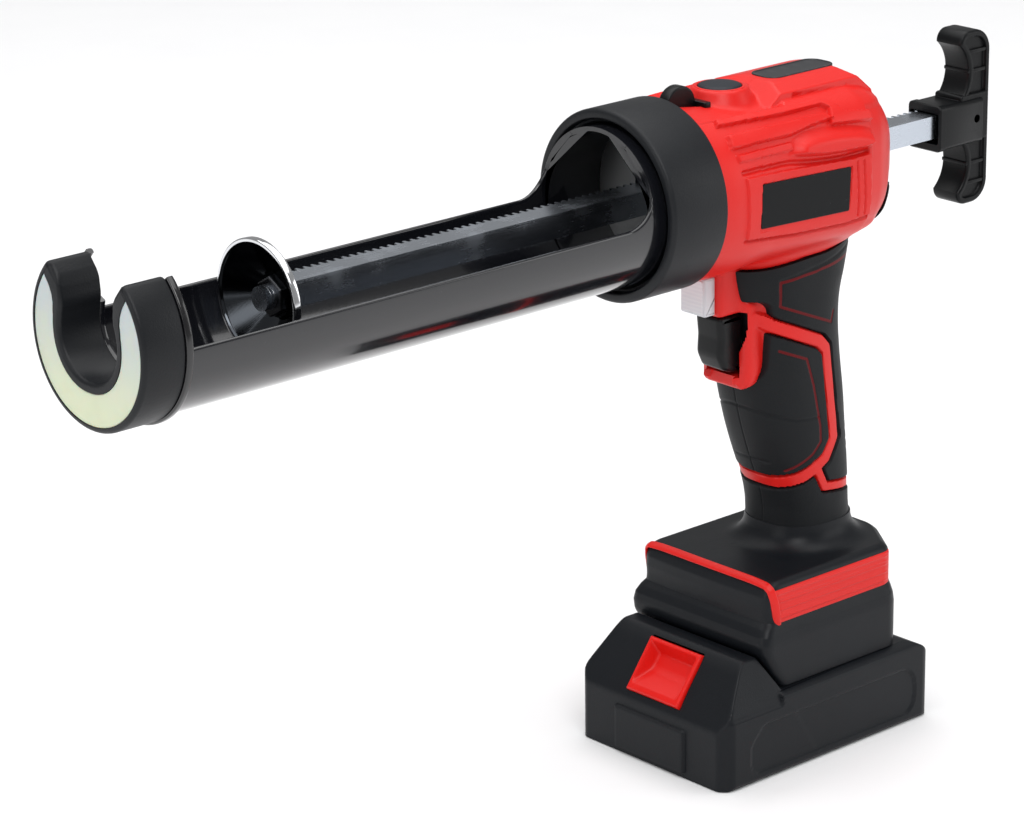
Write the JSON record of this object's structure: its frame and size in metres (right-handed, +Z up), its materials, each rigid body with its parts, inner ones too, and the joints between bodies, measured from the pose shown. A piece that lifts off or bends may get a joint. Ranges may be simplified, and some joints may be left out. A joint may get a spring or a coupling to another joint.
{
  "type": "cordless caulking tool",
  "caption": "Pistol-grip cordless caulking tool with an open half-round cartridge cradle, toothed push rod with dish and T-handle, trigger, work light and slide-on battery.",
  "frame": {"origin": "centre of the flat underside of the battery, where the tool stands", "axes": "+X from the nozzle end towards the T-handle along the barrel, +Z up, +Y to the side away from the pictured one"},
  "size_m": [0.3951, 0.075, 0.2437],
  "materials": {
    "black_grip": "soft overmould, fine texture",
    "black_plastic": "satin black moulded plastic",
    "board_cream": "light emitter board",
    "board_green": "printed circuit board",
    "brass": "plain",
    "bronze": "sintered",
    "cast_alloy": "die cast",
    "cell_blue": "shrink sleeve",
    "collar_black": "matte dark grey",
    "copper_wound": "varnished copper windings on steel",
    "cradle_black": "glossy black paint",
    "dish_chrome": "polished",
    "gear_steel": "sintered",
    "glow_cream": "pale translucent plastic",
    "lamp_clear": "frosted lens",
    "lamp_grey": "light grey",
    "latch_red": "satin moulded plastic",
    "pin_steel": "plain",
    "plate_black": "bare gloss plate",
    "red_shell": "satin moulded plastic",
    "rod_steel": "cold drawn, bright",
    "spring_steel": "spring wire",
    "window_grey": "smoked window"
  },
  "bodies": {
    "tool_body": {"body_shell_right": "red_shell", "body_shell_left": "red_shell", "grip_skin_right": "black_grip", "grip_skin_left": "black_grip", "foot_cover_right": "black_plastic", "foot_cover_left": "black_plastic", "gear_case": "cast_alloy", "front_guide": "black_plastic", "rear_guide": "black_plastic", "pinion_bushes": "bronze", "collar": "collar_black", "cradle": "cradle_black", "front_cap": "collar_black", "cap_seal": "cradle_black", "glow_ring": "glow_cream", "ring_gear": "cast_alloy", "motor_can": "pin_steel", "motor_end_cap": "black_plastic", "switch_body": "black_plastic", "trigger_spring": "spring_steel", "control_board": "board_green", "lamp_housing": "lamp_grey", "lamp_lens": "lamp_clear", "lamp_board": "board_cream", "side_plate_right": "plate_black", "side_plate_left": "plate_black", "rear_pad_right": "black_grip", "rear_pad_left": "black_grip", "display_window": "window_grey", "display_board": "board_green", "button_spring": "spring_steel", "lever_pin": "pin_steel", "lever_spring": "spring_steel", "shell_screws": "pin_steel", "terminal_block": "black_plastic"},
    "push_rod": {"rack_bar": "rod_steel", "piston_dish": "dish_chrome", "piston_nut": "pin_steel", "pull_handle": "black_plastic", "handle_pin": "pin_steel"},
    "pinion": {"drive_pinion": "gear_steel"},
    "clutch_gear": {"final_gear": "gear_steel"},
    "carrier": {"planet_carrier": "gear_steel"},
    "planet_one": {"planet_gear_1": "brass"},
    "planet_two": {"planet_gear_2": "brass"},
    "planet_three": {"planet_gear_3": "brass"},
    "rotor": {"motor_rotor": "copper_wound"},
    "trigger_blade": {"trigger": "black_plastic"},
    "mode_button": {"top_button": "window_grey"},
    "thumb_lever": {"release_lever": "black_plastic"},
    "battery": {"battery_tray": "black_plastic", "battery_cover": "black_plastic", "battery_cells": "cell_blue", "cell_strips": "pin_steel", "battery_board": "board_green", "battery_contacts": "brass", "battery_screws": "pin_steel", "latch_spring": "spring_steel"},
    "latch": {"latch_button": "latch_red"}
  },
  "joints": [
    {"name": "rod_slide", "type": "slide", "parent": "tool_body", "child": "push_rod", "axis": [1, 0, 0], "range_m": [-0.036, 0.148]},
    {"name": "pinion_spin", "type": "hinge", "parent": "tool_body", "child": "pinion", "pos_m": [0.002, 0.012, 0.208], "axis": [0, 0, 1], "range_deg": [-276, 1131.6]},
    {"name": "motor_spin", "type": "hinge", "parent": "tool_body", "child": "rotor", "pos_m": [0.01404, 0, 0.16], "axis": [0, 0, 1], "continuous": true},
    {"name": "carrier_spin", "type": "hinge", "parent": "tool_body", "child": "carrier", "pos_m": [0.01404, 0, 0.18], "axis": [0, 0, 1], "continuous": true},
    {"name": "clutch_gear_spin", "type": "hinge", "parent": "tool_body", "child": "clutch_gear", "pos_m": [0.002, 0.012, 0.194], "axis": [0, 0, 1], "continuous": true},
    {"name": "planet_one_spin", "type": "hinge", "parent": "carrier", "child": "planet_one", "pos_m": [0.02079, 0, 0.18], "axis": [0, 0, 1], "continuous": true},
    {"name": "planet_two_spin", "type": "hinge", "parent": "carrier", "child": "planet_two", "pos_m": [0.01067, 0.00585, 0.18], "axis": [0, 0, 1], "continuous": true},
    {"name": "planet_three_spin", "type": "hinge", "parent": "carrier", "child": "planet_three", "pos_m": [0.01067, -0.00585, 0.18], "axis": [0, 0, 1], "continuous": true},
    {"name": "trigger_pull", "type": "slide", "parent": "tool_body", "child": "trigger_blade", "axis": [1, 0, 0], "range_m": [0, 0.005], "stiffness_N_per_m": 900, "springref_m": -0.003, "deforming": ["trigger_spring"]},
    {"name": "mode_button_press", "type": "slide", "parent": "tool_body", "child": "mode_button", "axis": [0, 0, -1], "range_m": [0, 0.0012], "stiffness_N_per_m": 1500, "springref_m": -0.001, "deforming": ["button_spring"]},
    {"name": "release_lever_turn", "type": "hinge", "parent": "tool_body", "child": "thumb_lever", "pos_m": [-0.037, 0, 0.2345], "axis": [0, 1, 0], "range_deg": [0, 12], "stiffness_Nm_per_rad": 0.6, "springref_deg": -8.59, "deforming": ["lever_spring"]},
    {"name": "battery_slide", "type": "slide", "parent": "tool_body", "child": "battery", "axis": [-1, 0, 0], "range_m": [0, 0.1]},
    {"name": "latch_press", "type": "slide", "parent": "battery", "child": "latch", "axis": [0.8, 0, -0.6], "range_m": [0, 0.003], "stiffness_N_per_m": 1500, "springref_m": -0.001, "deforming": ["latch_spring"]}
  ],
  "couplings": [
    {"joint": "pinion_spin", "follows": "rod_slide", "rad_per_m": 133.33},
    {"joint": "carrier_spin", "follows": "motor_spin", "ratio": 0.22222},
    {"joint": "planet_one_spin", "follows": "motor_spin", "ratio": -0.62222},
    {"joint": "planet_two_spin", "follows": "motor_spin", "ratio": -0.62222},
    {"joint": "planet_three_spin", "follows": "motor_spin", "ratio": -0.62222},
    {"joint": "clutch_gear_spin", "follows": "motor_spin", "ratio": -0.13757}
  ]
}
